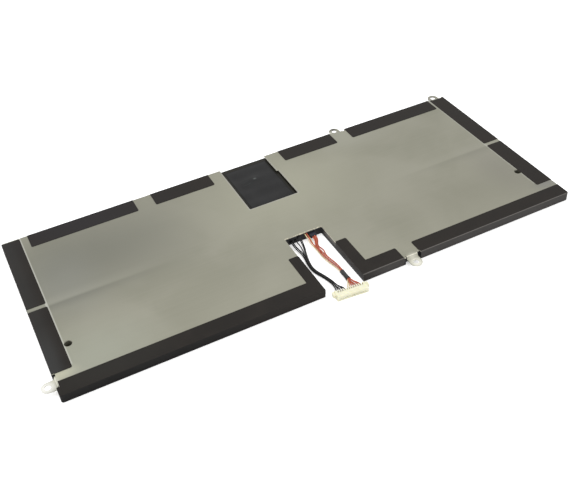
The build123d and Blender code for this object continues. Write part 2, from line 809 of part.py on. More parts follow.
def make_plug():
    """The plug's housing and its contacts, built about its back face and then put in place."""
    half = plug_width() / 2
    housing = block((-half, half), (-plug_depth, 0), (0, plug_height))
    housing = chamfer(housing.edges().filter_by(Axis.X), plug_chamfer)
    lug_y = (-plug_lug_setback - plug_lug_length, -plug_lug_setback)
    lug_z = (plug_lug_bottom, plug_lug_bottom + plug_lug_height)
    for side in (-1, 1):
        x = sorted((side * (half - plug_end_wall), side * (half + plug_lug)))
        housing += round_block(x, lug_y, lug_z, plug_lug_radius)
    cavity_bottom = (plug_height - cavity_height) / 2
    cavity_z = (cavity_bottom, cavity_bottom + cavity_height)
    cavity_y = (-plug_depth + plug_front_wall, cut_over)
    slot_y = (-plug_slot_length, cut_over)
    slot_z = (cavity_bottom, plug_height + cut_over)
    contact_y = (cavity_y[0] + contact_gap, -wire_entry)
    contact_z = (cavity_bottom, cavity_bottom + contact_height)
    pin_y = (-plug_depth - cut_over, cavity_y[0] + contact_gap)
    pin_middle = sum(contact_z) / 2
    pin_z = (pin_middle - pin_hole_height / 2, pin_middle + pin_hole_height / 2)
    contacts = []
    for i in range(plug_ways):
        x = (i - (plug_ways - 1) / 2) * plug_pitch
        housing -= block((x - cavity_width / 2, x + cavity_width / 2), cavity_y, cavity_z)
        housing -= block((x - plug_slot_width / 2, x + plug_slot_width / 2), slot_y, slot_z)
        housing -= block((x - pin_hole_width / 2, x + pin_hole_width / 2), pin_y, pin_z)
        contacts.append(block((x - contact_width / 2, x + contact_width / 2), contact_y, contact_z))
    place = bay_place * Pos(plug_x, plug_back_y, 0) * Rot(0, 0, plug_angle)
    return place * housing, [place * contact for contact in contacts]


def all_pieces():
    """Every node's name with its solid or solids."""
    pieces = {
        "base_film": make_base_film(),
        "frame": make_frame(),
        "cover_plate": make_cover_plate(),
        "board_cover": make_board_cover(),
        "circuit_board": board_plan(board_clearance, (board_bottom, board_top)),
        "weld_plates": make_weld_plates(),
        "wire_joints": make_wire_joints(),
        "wire_grommet": make_grommet(),
        "bundle_sleeve": make_bundle_sleeve(),
    }
    pieces.update(make_board_parts())
    pieces.update(make_tapes())
    cell = make_cell()
    tape = make_cell_tape()
    for side_x, end in ((-1, "left"), (1, "right")):
        for side_y, row in ((1, "back"), (-1, "front")):
            pieces[f"cell_{end}_{row}"] = in_quarter(cell, side_x, side_y)
            pieces[f"cell_tape_{end}_{row}"] = in_quarter(tape, side_x, side_y)
            for place, word in ((tab_near, "near"), (tab_far, "far")):
                pieces[f"tab_{end}_{row}_{word}"] = in_quarter(make_tab(place), side_x, side_y)
    for name, diameter, points in wire_points():
        pieces[name] = make_wire(name, diameter, points)
    pieces["plug_housing"], pieces["plug_contacts"] = make_plug()
    return pieces


os.makedirs("parts", exist_ok=True)
for node, shape in all_pieces().items():
    if isinstance(shape, list):
        shape = Compound(children=shape) if len(shape) > 1 else shape[0]
    export_step(shape, f"parts/{node}.step")
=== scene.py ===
# %% [markdown]
# # A flat laptop battery pack
# The object is a thin tray of four pouch cells under one bare metal sheet. Black tape wraps its edges, a
# black film covers the circuit board in a window at the back, and twelve fine wires cross a bay at the front
# to a cream plug. The solids come from the CAD frame. This lesson dresses them: it makes the wires and the
# small moulded pieces as Blender geometry, and gives every surface a finish of its own.

# %% Load the frame
import math

import bmesh
import bpy
from mathutils import Matrix, Vector


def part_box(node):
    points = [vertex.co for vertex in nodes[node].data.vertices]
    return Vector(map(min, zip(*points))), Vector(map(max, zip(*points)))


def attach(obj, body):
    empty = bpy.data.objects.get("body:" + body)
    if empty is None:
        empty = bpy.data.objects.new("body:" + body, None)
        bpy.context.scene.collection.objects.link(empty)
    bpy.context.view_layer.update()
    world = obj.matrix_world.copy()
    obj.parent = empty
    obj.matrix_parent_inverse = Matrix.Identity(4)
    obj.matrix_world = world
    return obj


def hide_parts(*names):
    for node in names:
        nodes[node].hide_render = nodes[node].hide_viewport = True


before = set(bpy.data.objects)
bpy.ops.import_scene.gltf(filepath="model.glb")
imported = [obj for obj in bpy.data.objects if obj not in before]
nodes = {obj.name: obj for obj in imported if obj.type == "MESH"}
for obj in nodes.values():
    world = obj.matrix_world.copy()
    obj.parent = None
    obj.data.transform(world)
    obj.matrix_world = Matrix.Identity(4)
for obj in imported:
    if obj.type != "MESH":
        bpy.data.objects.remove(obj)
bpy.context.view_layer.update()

# %% [markdown]
# ## The camera
# The photograph looks down on the pack from the front left, about 41 degrees above the table, with the
# camera rolled a little. The angles and the distance were found by matching the pack's corners, so the
# camera's axes are built from those angles directly instead of by a constraint, which keeps them exact.

# %% Camera at the photograph's angle
camera_place = Vector((-0.15280, -0.34115, 0.30638))
camera_azimuth = math.radians(-23.814)
camera_elevation = math.radians(41.004)
camera_roll = math.radians(-4.553)


def camera_matrix():
    """The camera's axes and place as one matrix."""
    level = math.cos(camera_elevation)
    back = Vector((
        math.sin(camera_azimuth) * level,
        -math.cos(camera_azimuth) * level,
        math.sin(camera_elevation),
    ))
    right = Vector((0, 0, 1)).cross(back).normalized()
    up = back.cross(right)
    rolled_right = math.cos(camera_roll) * right + math.sin(camera_roll) * up
    rolled_up = -math.sin(camera_roll) * right + math.cos(camera_roll) * up
    matrix = Matrix((rolled_right, rolled_up, back)).transposed().to_4x4()
    matrix.translation = camera_place
    return matrix


camera_data = bpy.data.cameras.new("photo_camera")
camera_data.sensor_width = 36.0
camera_data.lens = 53.13
camera_data.clip_start = 0.01
camera = bpy.data.objects.new("photo_camera", camera_data)
bpy.context.scene.collection.objects.link(camera)
camera.matrix_world = camera_matrix()
bpy.context.scene.camera = camera
bpy.context.scene.view_settings.view_transform = "Standard"
print("camera at", [round(value, 3) for value in camera.location])

# %% [markdown]
# ## Helpers for node trees
# A finish is a small tree of nodes: a place on the object, one or two noises, a mix of two tones and a bump.
# A few short helpers make those nodes, so that each finish below reads as a recipe.

# %% Node helpers


def new_finish(name, roughness, metallic=0.0):
    """A new material with its tree and its main shader."""
    made = bpy.data.materials.new(name)
    made.use_nodes = True
    shader = made.node_tree.nodes["Principled BSDF"]
    shader.inputs["Roughness"].default_value = roughness
    shader.inputs["Metallic"].default_value = metallic
    return made, made.node_tree, shader


def on_object(tree, scale=(1.0, 1.0, 1.0), centre=(0.0, 0.0, 0.0), turn=0.0):
    """Object coordinates, moved to a centre, turned about Z and then stretched."""
    source = tree.nodes.new("ShaderNodeTexCoord")
    mapping = tree.nodes.new("ShaderNodeMapping")
    mapping.vector_type = "TEXTURE"
    mapping.inputs["Location"].default_value = centre
    mapping.inputs["Rotation"].default_value = (0.0, 0.0, turn)
    mapping.inputs["Scale"].default_value = scale
    tree.links.new(source.outputs["Object"], mapping.inputs["Vector"])
    return mapping.outputs["Vector"]


def noise(tree, vector, scale, detail=2.0, distortion=0.0):
    """Smooth noise from 0 to 1, with its scale in waves per metre."""
    made = tree.nodes.new("ShaderNodeTexNoise")
    made.inputs["Scale"].default_value = scale
    made.inputs["Detail"].default_value = detail
    made.inputs["Distortion"].default_value = distortion
    tree.links.new(vector, made.inputs["Vector"])
    return made.outputs["Fac"]


def feed(tree, socket, value):
    """Links an output to a socket, or sets a plain number on it."""
    if isinstance(value, (int, float)):
        socket.default_value = value
    else:
        tree.links.new(value, socket)


def maths(tree, operation, first, second=0.0):
    """One step of arithmetic on two values."""
    made = tree.nodes.new("ShaderNodeMath")
    made.operation = operation
    feed(tree, made.inputs[0], first)
    feed(tree, made.inputs[1], second)
    return made.outputs["Value"]


def product(tree, *factors):
    """Two or more values multiplied together."""
    total = factors[0]
    for factor in factors[1:]:
        total = maths(tree, "MULTIPLY", total, factor)
    return total


def distance(tree, value, middle):
    """How far a value is from a middle, on either side of it."""
    return maths(tree, "ABSOLUTE", maths(tree, "SUBTRACT", value, middle))


def ramp(tree, value, low, high, start=0.0, end=1.0, smooth=True):
    """A value carried from low..high to start..end, and held at both ends."""
    made = tree.nodes.new("ShaderNodeMapRange")
    made.interpolation_type = "SMOOTHSTEP" if smooth else "LINEAR"
    made.clamp = True
    for name, number in zip(("From Min", "From Max", "To Min", "To Max"), (low, high, start, end)):
        made.inputs[name].default_value = number
    tree.links.new(value, made.inputs["Value"])
    return made.outputs["Result"]


def blend(tree, factor, first, second):
    """Two colours, or a colour over an earlier mix, by a factor."""
    made = tree.nodes.new("ShaderNodeMix")
    made.data_type = "RGBA"
    feed(tree, made.inputs["Factor"], factor)
    for socket, colour in ((made.inputs[6], first), (made.inputs[7], second)):
        if isinstance(colour, tuple):
            socket.default_value = (*colour, 1.0)
        else:
            tree.links.new(colour, socket)
    return made.outputs[2]


def bump(tree, height, depth, strength=1.0, under=None):
    """A bump of a given depth in metres, on top of an earlier bump."""
    made = tree.nodes.new("ShaderNodeBump")
    made.inputs["Distance"].default_value = depth
    made.inputs["Strength"].default_value = strength
    tree.links.new(height, made.inputs["Height"])
    if under is not None:
        tree.links.new(under, made.inputs["Normal"])
    return made.outputs["Normal"]


def axes(tree):
    """The three object coordinates as single values."""
    source = tree.nodes.new("ShaderNodeTexCoord")
    split = tree.nodes.new("ShaderNodeSeparateXYZ")
    tree.links.new(source.outputs["Object"], split.inputs["Vector"])
    return split.outputs["X"], split.outputs["Y"], split.outputs["Z"]


def flatness(tree):
    """1 where the surface lies flat, on top or below, and 0 where it is a wall."""
    source = tree.nodes.new("ShaderNodeTexCoord")
    split = tree.nodes.new("ShaderNodeSeparateXYZ")
    tree.links.new(source.outputs["Normal"], split.inputs["Vector"])
    return maths(tree, "ABSOLUTE", split.outputs["Z"])


def patch(tree, centre, reach):
    """1 at a place on the object, falling smoothly to 0 at its reach along X and Y."""
    length = tree.nodes.new("ShaderNodeVectorMath")
    length.operation = "LENGTH"
    tree.links.new(on_object(tree, (*reach, 1.0), (*centre, 0.0)), length.inputs[0])
    return ramp(tree, length.outputs["Value"], 0.0, 1.0, 1.0, 0.0)


def lay_patches(tree, tone, patches):
    """Soft patches over a tone. Each has its centre, its reach along X and Y, its share and its colour."""
    for centre, reach, share, colour in patches:
        tone = blend(tree, product(tree, patch(tree, centre, reach), share), tone, colour)
    return tone


def tone_so_far(finish):
    """A finish's tree, its shader and the tone that it has so far, so that marks can be mixed over it."""
    shader = finish.node_tree.nodes["Principled BSDF"]
    return finish.node_tree, shader, shader.inputs["Base Color"].links[0].from_socket


print("helpers ready")

# %% [markdown]
# ## The table and the light
# The photograph is a plain product shot: a white ground and light from all round, with a little more from
# the upper left and the front. A large plane is the table. Its diffuse colour takes the pack's soft shadow,
# and it glows a little for the rays that show it, so the shadow stays as faint as the photograph's. What the
# camera sees of the world is plain white, so the ground stays white without more light on the object.

# %% Table, world and lamps


def seen_rays(tree):
    """1 for a ray that shows the ground itself, straight, in a gloss or through glass, and otherwise 0."""
    path = tree.nodes.new("ShaderNodeLightPath")
    either = maths(tree, "MAXIMUM", path.outputs["Is Camera Ray"], path.outputs["Is Glossy Ray"])
    return maths(tree, "MAXIMUM", either, path.outputs["Is Transmission Ray"])


table_mesh = bpy.data.meshes.new("table")
table_reach = 3.0
table_mesh.from_pydata(
    [(x * table_reach, y * table_reach, 0.0) for x, y in ((-1, -1), (1, -1), (1, 1), (-1, 1))],
    [],
    [(0, 1, 2, 3)],
)
table = bpy.data.objects.new("table", table_mesh)
bpy.context.scene.collection.objects.link(table)
table_finish, tree, shader = new_finish("table_paper", 0.9)
shader.inputs["Specular IOR Level"].default_value = 0.1
seen = seen_rays(tree)
paper = blend(tree, noise(tree, on_object(tree), 400.0), (0.93, 0.93, 0.925), (0.96, 0.96, 0.955))
paper_as_light = (0.78, 0.78, 0.775)
tree.links.new(blend(tree, seen, paper_as_light, paper), shader.inputs["Base Color"])
glow_when_seen = 0.24
glow_for_camera = 0.2
glow = tree.nodes.new("ShaderNodeEmission")
lit = tree.nodes.new("ShaderNodeAddShader")
output = tree.nodes["Material Output"]
camera_ray = tree.nodes.new("ShaderNodeLightPath").outputs["Is Camera Ray"]
camera_part = product(tree, camera_ray, glow_for_camera)
feed(tree, glow.inputs["Strength"], maths(tree, "ADD", product(tree, seen, glow_when_seen), camera_part))
tree.links.new(shader.outputs["BSDF"], lit.inputs[0])
tree.links.new(glow.outputs["Emission"], lit.inputs[1])
tree.links.new(lit.outputs["Shader"], output.inputs["Surface"])
table_mesh.materials.append(table_finish)

world = bpy.data.worlds.new("studio")
bpy.context.scene.world = world
world.use_nodes = True
tree = world.node_tree
background = tree.nodes["Background"]
background.inputs["Color"].default_value = (1.0, 1.0, 1.0, 1.0)
sky_light = 0.55
feed(tree, background.inputs["Strength"], ramp(tree, seen_rays(tree), 0.0, 1.0, sky_light, 1.0, smooth=False))


def area_lamp(name, place, target, size, power):
    """A square soft lamp that points at a target."""
    data = bpy.data.lights.new(name, "AREA")
    data.size = size
    data.energy = power
    lamp = bpy.data.objects.new(name, data)
    lamp.location = place
    lamp.rotation_euler = (Vector(target) - Vector(place)).to_track_quat("-Z", "Y").to_euler()
    bpy.context.scene.collection.objects.link(lamp)


area_lamp("left_softbox", (-1.1, 0.35, 1.0), (0.0, 0.0, 0.0), 0.9, 10.5)
area_lamp("top_softbox", (0.3, 0.2, 1.5), (0.0, 0.0, 0.0), 1.2, 8.6)
area_lamp("front_softbox", (0.15, -1.3, 0.55), (0.0, 0.0, 0.0), 1.0, 7.0)
print("table, world and three lamps")

# %% [markdown]
# ## The wires
# Twelve wires cross the bay in two loose bundles. On the real pack each one is a fine stranded wire in a soft
# skin, so it takes long easy bends. Each wire is a NURBS curve whose control points are the stations of the
# CAD tube, so both follow the same way. Only the red bundle is laid a little looser than its tubes, because
# the photograph shows gaps between its wires. A bundle is described once: a route with a looseness at each
# station, and a lane for each wire. Order 3 with end points on makes the curve smooth and makes it start and
# end exactly at the solder joint and at the contact.

# %% The routes, from the middle of the bay's back face, in millimetres
bay_origin = Vector((2.4, -16.3, 0.0))
wire_thickness = 0.68
thin_wire_thickness = 0.55
wire_pitch = 0.71
upward_looseness = 1.15
black_route = [
    (-5.9, -12.6, 1.4, 1.45),
    (-7.0, -18.1, 1.1, 1.08),
    (-7.65, -23.3, 1.0, 1.05),
    (-7.15, -27.7, 1.0, 1.05),
    (-5.65, -31.6, 1.0, 1.05),
    (-4.4, -35.5, 1.1, 1.05),
    (-3.6, -39.5, 1.35, 1.05),
    (-3.4, -43.3, 1.65, 1.3),
]
red_route = [
    (2.4, -10.2, 1.6, 1.4),
    (2.5, -14.6, 1.35, 1.3),
    (2.7, -19.0, 1.25, 1.7),
    (3.4, -23.2, 1.25, 1.75),
    (4.1, -27.5, 1.35, 1.8),
    (4.8, -32.1, 1.5, 1.12),
    (4.8, -37.8, 1.53, 1.02),
    (4.7, -43.3, 1.6, 1.02),
]
black_lanes = [(-1.0, -0.45), (-0.5, 0.45), (0.0, -0.45), (0.5, 0.45), (1.0, -0.45)]
red_lanes = [(-1.0, 0.0), (-0.5, -0.87), (-0.5, 0.87), (0.0, 0.0), (0.5, -0.87), (0.5, 0.87), (1.0, 0.0)]
red_5_loop = 1.7
print("stations", len(black_route), len(red_route))

# %% A wire's points in its bundle
plug_back = (1.5, -48.5)
plug_turn = math.radians(-5.0)
plug_pitch = 1.25
plug_ways = 12
plug_height = 3.4
plug_run = 1.2
wire_entry = 2.2
joint_start = (4.6, 1.94)
wall_back_y = 1.9
wall_front_y = -1.8
fan_y = -6.8
block_x = 3.3
block_z = 1.6
block_ys = (-3.0, -5.8)


def in_bundle(route, lane, loop=0.0):
    """A wire's points: the bundle's route, moved sideways and up to the wire's lane."""
    points = []
    for i, (x, y, z, looseness) in enumerate(route):
        before = route[max(i - 1, 0)]
        after = route[min(i + 1, len(route) - 1)]
        heading = Vector((after[0] - before[0], after[1] - before[1])).normalized()
        across = lane[0] * wire_pitch * looseness + (loop if i == 1 else 0.0)
        up = lane[1] * wire_pitch * min(looseness, upward_looseness)
        points.append((x - heading.y * across, y + heading.x * across, z + up))
    return points


def plug_place(x, y, z):
    """A point that is given from the middle of the plug's back face."""
    turned = Matrix.Rotation(plug_turn, 2) @ Vector((x, y))
    return (plug_back[0] + turned.x, plug_back[1] + turned.y, z)


def plug_end(way):
    """A wire's last two points, straight into its way of the plug."""
    across = (way - (plug_ways - 1) / 2) * plug_pitch
    return [plug_place(across, plug_run, plug_height / 2), plug_place(across, -wire_entry, plug_height / 2)]


def from_wall(x, heights, fan_x, fan_z):
    """The first points of a wire that leaves the wall by itself: joint, wall, and the fan's start."""
    behind, front = heights
    return [(x, *joint_start), (x, wall_back_y, behind), (x, wall_front_y, front), (fan_x, fan_y, fan_z)]


def from_block(across, up):
    """The first two points of a wire that comes out of the small block in the wall."""
    return [(block_x + across, y, block_z + up) for y in block_ys]


print("way 1 ends at", [round(value, 2) for value in plug_end(0)[1]])

# %% [markdown]
# ## Each wire's own facts
# The tables below give each wire its start, its way through the wall, its place at the fan and its real
# length in metres. A wire goes through a low slot or over a high notch. The lengths are those of the CAD
# tubes from joint to contact, 48 to 58 mm, because the photograph shows the wires from end to end.

# %% Table of wires
low_exit = (2.25, 2.05)
high_exit = (3.6, 3.9)
single_wires = [
    ("wire_black_1", 0.0556, (-8.2, low_exit, -7.9, 1.35)),
    ("wire_black_2", 0.0555, (-7.4, low_exit, -7.15, 1.6)),
    ("wire_black_3", 0.0558, (-5.2, low_exit, -4.8, 1.6)),
    ("wire_black_4", 0.0569, (-3.4, high_exit, -3.65, 1.8)),
    ("wire_black_5", 0.0575, (-2.65, high_exit, -2.9, 1.6)),
    ("wire_white", 0.0570, (0.95, high_exit, 0.55, 2.3)),
    ("wire_yellow", 0.0561, (2.85, low_exit, 2.25, 1.7)),
    ("wire_red_1", 0.0564, (1.95, high_exit, 1.35, 2.4)),
]
wires = []
lanes = [(black_route, lane) for lane in black_lanes] + [(red_route, lane) for lane in red_lanes]
for i, (name, length, start) in enumerate(single_wires):
    skin = "_".join(name.split("_")[:2])
    thickness = thin_wire_thickness if skin in ("wire_white", "wire_yellow") else wire_thickness
    points = from_wall(*start) + in_bundle(*lanes[i]) + plug_end(i)
    wires.append((name, skin, thickness, length, points))

block_starts = [(1.1, 0.85), (1.85, 0.45), (2.15, 1.3), (2.95, 0.8)]
block_lengths = [0.0485, 0.0489, 0.0493, 0.0499]
for i, (start, length) in enumerate(zip(block_starts, block_lengths)):
    name = f"wire_red_{i + 2}"
    way = len(single_wires) + i
    loop = red_5_loop if name == "wire_red_5" else 0.0
    points = from_block(*start) + in_bundle(*lanes[way], loop) + plug_end(way)
    wires.append((name, "wire_red", wire_thickness, length, points))
print("wires", len(wires))

# %% Curves for the wires
millimetre = 0.001


def wire_curve(name, thickness, points):
    """One smooth wire through its bundle, as a NURBS curve with a round bevel."""
    data = bpy.data.curves.new(name, "CURVE")
    data.dimensions = "3D"
    data.bevel_depth = thickness / 2 * millimetre
    data.bevel_resolution = 3
    data.resolution_u = 6
    data.use_fill_caps = True
    spline = data.splines.new("NURBS")
    spline.points.add(len(points) - 1)
    for control, point in zip(spline.points, points):
        control.co = (*((Vector(point) + bay_origin) * millimetre), 1.0)
    spline.order_u = 3
    spline.use_endpoint_u = True
    made = bpy.data.objects.new(name, data)
    bpy.context.scene.collection.objects.link(made)
    return made


wire_objects = {}
for name, skin, thickness, length, points in wires:
    wire_objects[name] = wire_curve(name + "_lead", thickness, points)
print("curves", len(wire_objects))

# %% [markdown]
# ## Finishes: bare sheet metal
# The cover is a rolled aluminium sheet with a grey, slightly green tone. Rolling leaves very fine streaks
# along the sheet, and handling leaves cloudy patches. The noise for the streaks is stretched along X. Broad
# soft patches are painted reflections and painted shade over the sheet, and small ones are painted
# highlights and painted shade on the ears.

# %% Sheet metal
sheet_metal, tree, shader = new_finish("sheet_metal", 0.42, metallic=0.55)
streaks = noise(tree, on_object(tree, scale=(0.05, 0.0008, 0.01)), 1.0, 3.0)
clouds = noise(tree, on_object(tree), 22.0, 3.0, 0.6)
specks = noise(tree, on_object(tree), 1800.0, 2.0)
tone = blend(tree, ramp(tree, clouds, 0.3, 0.7), (0.225, 0.222, 0.172), (0.262, 0.257, 0.205))
tone = blend(tree, ramp(tree, streaks, 0.25, 0.75, 0.0, 0.18), tone, (0.285, 0.280, 0.228))
# Painted light: each patch is a painted reflection, highlight or shade, over the cells, between the tapes and
# on the ears.
painted_light_patches = [
    ((-0.105, 0.028), (0.095, 0.060), 0.75, (0.145, 0.146, 0.120)),  # over the left back cell
    ((-0.128, 0.012), (0.030, 0.045), 0.30, (0.215, 0.222, 0.205)),  # at the left end
    ((-0.128, -0.046), (0.050, 0.034), 0.65, (0.310, 0.320, 0.262)),  # over the left front cell
    ((-0.147, -0.0495), (0.013, 0.007), 0.80, (0.440, 0.435, 0.330)),  # between the left tapes
    ((0.1400, 0.0640), (0.012, 0.016), 0.60, (0.330, 0.320, 0.290)),  # at the right back corner
    ((0.1320, -0.0250), (0.024, 0.042), 0.60, (0.205, 0.197, 0.168)),  # by the right tapes
    ((0.010, 0.025), (0.080, 0.060), 0.80, (0.318, 0.314, 0.244)),  # between window and bay
    ((-0.045, -0.050), (0.060, 0.030), 0.35, (0.275, 0.270, 0.214)),  # left of the bay
    ((0.105, -0.035), (0.075, 0.040), 0.45, (0.190, 0.186, 0.142)),  # over the right front cell
    ((-0.1545, -0.053), (0.0085, 0.0075), 1.0, (0.770, 0.765, 0.720)),  # left ear
    ((0.0443, -0.0670), (0.0060, 0.0078), 1.0, (0.740, 0.730, 0.640)),  # front ear
    ((0.1450, -0.0490), (0.014, 0.008), 0.80, (0.190, 0.186, 0.170)),  # between the right tapes
    ((0.0720, 0.0560), (0.036, 0.024), 0.60, (0.320, 0.318, 0.262)),  # before the back ear
    ((0.0692, 0.0690), (0.0044, 0.0022), 0.9, (0.040, 0.040, 0.036)),  # far side of the back ear
    ((0.0650, 0.0655), (0.0018, 0.0030), 0.8, (0.740, 0.740, 0.660)),  # near side of the back ear
]
tone = lay_patches(tree, tone, painted_light_patches)
print("patches", len(painted_light_patches))

# %% [markdown]
# ## The sheet's crease, painted light on its edges, and gloss
# The sheet isn't perfectly flat: it shows the two rows of cells under it, so a shallow ridge follows the
# seam between them at both ends, with a painted highlight on one side and painted shade on the other. Cut
# and bent edges catch the light, and that light is painted into the colour: thin painted highlight lines
# run by the window, by the end tapes and along the back of the bay, and every cut edge and bend is bright,
# partly as bare cut metal and partly as a painted highlight. The flange that is bent down into the bay
# faces away from the light, so it gets painted shade.

# %% The crease over the seam between the cells
x_axis, y_axis, z_axis = axes(tree)
at_ends = ramp(tree, distance(tree, x_axis, 0.0), 0.055, 0.135)
at_ends = product(tree, at_ends, ramp(tree, x_axis, -0.05, 0.05, 1.0, 0.6))
ridge_width = 0.0085
ridge = product(tree, ramp(tree, distance(tree, y_axis, 0.0), 0.0, ridge_width, 1.0, 0.0), at_ends)
# Painted shade on the ridge's front side and a painted highlight on its back side, over its real bump.
painted_shade_side = product(tree, ramp(tree, y_axis, 0.0002, -0.0014), ridge, 0.40)
painted_highlight_side = product(tree, ramp(tree, y_axis, -0.0004, 0.0012), ridge, 0.22)
tone = blend(tree, painted_shade_side, tone, (0.105, 0.106, 0.088))
tone = blend(tree, painted_highlight_side, tone, (0.36, 0.36, 0.30))

# %% Painted highlight lines by the window, the end tapes and the bay
window_centre = 0.0015
window_half_width = 0.0157
window_front = 0.0182
window_step = 0.0011
step_y = 0.0446
beside = maths(tree, "SUBTRACT", distance(tree, x_axis, window_centre), window_half_width)
at_step = product(tree, ramp(tree, y_axis, step_y, step_y + 0.00015), ramp(tree, x_axis, 0.0, 0.001))
beside = maths(tree, "ADD", beside, product(tree, at_step, window_step))
off_window = maths(tree, "MAXIMUM", beside, maths(tree, "SUBTRACT", window_front, y_axis))
# A painted highlight along the window's rim.
tone = blend(tree, ramp(tree, off_window, 0.0009, 0.0002, 0.0, 0.5), tone, (0.380, 0.372, 0.350))

behind_front_tapes = ramp(tree, y_axis, -0.0465, -0.0455)
left_tape_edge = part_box("left_tape_back")[1][0]
right_tape_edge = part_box("right_tape_back")[0][0]
# A painted highlight beside the inner edge of each end tape.
for tape_edge, share in ((left_tape_edge, 0.75), (right_tape_edge, 0.45)):
    tape_edge_highlight = ramp(tree, distance(tree, x_axis, tape_edge), 0.0004, 0.0009, share, 0.0)
    tone = blend(tree, product(tree, tape_edge_highlight, behind_front_tapes), tone, (0.450, 0.450, 0.400))

# A dotted painted highlight along the back edge of the bay.
bay_edge_highlight = product(
    tree,
    ramp(tree, distance(tree, x_axis, bay_origin.x * millimetre), 0.0117, 0.0113),
    ramp(tree, y_axis, -0.01580, -0.01605),
    ramp(tree, y_axis, -0.0170, -0.0166),
)
dots = ramp(tree, noise(tree, on_object(tree), 620.0, 1.0), 0.42, 0.56, 0.05, 0.85)
tone = blend(tree, product(tree, bay_edge_highlight, dots), tone, (0.72, 0.68, 0.50))

# %% Painted shade on the flange, bright cut edges and the gloss
# Painted shade on the flange, which faces away from the light.
flange = product(
    tree,
    ramp(tree, z_axis, 0.00458, 0.00445),
    ramp(tree, x_axis, 0.0130, 0.0135),
    ramp(tree, x_axis, 0.0155, 0.0150),
    ramp(tree, y_axis, -0.0165, -0.0175),
)
tone = blend(tree, flange, tone, (0.075, 0.070, 0.060))
# Cut edges and bends are bright, partly as bare cut metal and partly as a painted highlight.
worn = ramp(tree, noise(tree, on_object(tree), 900.0, 2.0), 0.3, 0.6, 0.45, 1.0)
bare_edge_and_highlight = product(tree, ramp(tree, flatness(tree), 0.85, 0.45), ramp(tree, z_axis, 0.00452, 0.00458), worn)
tone = blend(tree, bare_edge_and_highlight, tone, (0.66, 0.64, 0.54))
tree.links.new(tone, shader.inputs["Base Color"])
unevenness = maths(tree, "ADD", product(tree, clouds, 0.12), product(tree, specks, 0.06))
feed(tree, shader.inputs["Roughness"], maths(tree, "ADD", unevenness, 0.36))
normal = bump(tree, noise(tree, on_object(tree), 14.0, 1.0, 0.4), 0.0006, 0.5)
normal = bump(tree, ridge, 0.00014, 1.0, normal)
normal = bump(tree, specks, 0.000004, 0.6, normal)
tree.links.new(normal, shader.inputs["Normal"])
print("finish", sheet_metal.name)

# %% [markdown]
# ## Finishes: black tape, moulded plastic and films
# Three blacks lie side by side and must read as different. The edge tape is a smooth film with a low sheen,
# the moulded frame has a fine spark-eroded grain, and the film over the board is dull. Each is two near tones
# mixed by noise, with a roughness and a bump at its own scale.

# %% The black finishes


def black_finish(name, dark, light, roughness, grain_scale, grain_depth, sheen):
    """A black plastic finish with cloudy tone, uneven gloss and a fine grain."""
    made, tree, shader = new_finish(name, roughness)
    shader.inputs["Specular IOR Level"].default_value = sheen
    clouds = noise(tree, on_object(tree), 60.0, 3.0, 0.5)
    grain = noise(tree, on_object(tree), grain_scale, 2.0)
    tree.links.new(blend(tree, ramp(tree, clouds, 0.3, 0.7), dark, light), shader.inputs["Base Color"])
    feed(tree, shader.inputs["Roughness"], ramp(tree, clouds, 0.25, 0.75, roughness - 0.06, roughness + 0.06))
    waves = noise(tree, on_object(tree), 90.0, 1.0)
    normal = bump(tree, waves, 0.00008, 0.5)
    normal = bump(tree, grain, grain_depth, 0.7, normal)
    tree.links.new(normal, shader.inputs["Normal"])
    return made


edge_tape = black_finish(
    "edge_tape", (0.0090, 0.0070, 0.0052), (0.0140, 0.0112, 0.0088),
    roughness=0.5, grain_scale=2500.0, grain_depth=0.000004, sheen=0.15,
)
frame_plastic = black_finish(
    "frame_plastic", (0.010, 0.010, 0.0105), (0.016, 0.016, 0.017),
    roughness=0.6, grain_scale=3500.0, grain_depth=0.00001, sheen=0.3,
)
base_film = black_finish(
    "base_film", (0.012, 0.012, 0.013), (0.018, 0.018, 0.019),
    roughness=0.55, grain_scale=1800.0, grain_depth=0.000005, sheen=0.3,
)
panel_film = black_finish(
    "panel_film", (0.0125, 0.0125, 0.0128), (0.0175, 0.0175, 0.0178),
    roughness=0.36, grain_scale=2200.0, grain_depth=0.000003, sheen=0.14,
)
sleeve_film = black_finish(
    "sleeve_film", (0.008, 0.008, 0.009), (0.015, 0.015, 0.016),
    roughness=0.35, grain_scale=900.0, grain_depth=0.00002, sheen=0.4,
)
block_plastic = black_finish(
    "block_plastic", (0.007, 0.008, 0.014), (0.012, 0.014, 0.024),
    roughness=0.45, grain_scale=1500.0, grain_depth=0.000006, sheen=0.3,
)
chip_resin = black_finish(
    "chip_resin", (0.012, 0.012, 0.012), (0.020, 0.020, 0.020),
    roughness=0.7, grain_scale=4000.0, grain_depth=0.000012, sheen=0.4,
)
print("black finishes", 7)

# %% [markdown]
# ## Painted light on the edge tape
# Where the tape folds over the edge, a painted highlight makes the fold paler in short dashes, and along
# the right front edge a thin painted highlight line. The outer strip of the two left tapes gets a painted
# sheen. All are mixed over the tape's own tone: the fold is found by the direction that the surface faces,
# and the rest by its place. The front walls get painted light on the right and painted shade on the left.

# %% Painted highlight on the fold and painted sheen on the left strip
tree, shader, tone = tone_so_far(edge_tape)
x_axis, y_axis, z_axis = axes(tree)
flat = flatness(tree)
fold = product(tree, ramp(tree, flat, 0.97, 0.80), ramp(tree, flat, 0.25, 0.45))
dashes = ramp(tree, noise(tree, on_object(tree), 520.0, 2.0), 0.46, 0.60)
left_front = product(tree, ramp(tree, x_axis, 0.0, -0.006), ramp(tree, y_axis, -0.050, -0.055))
dashes = product(tree, dashes, maths(tree, "SUBTRACT", 1.0, left_front))
# Painted highlight in short dashes along the fold.
tone = blend(tree, product(tree, fold, dashes), tone, (0.115, 0.108, 0.095))
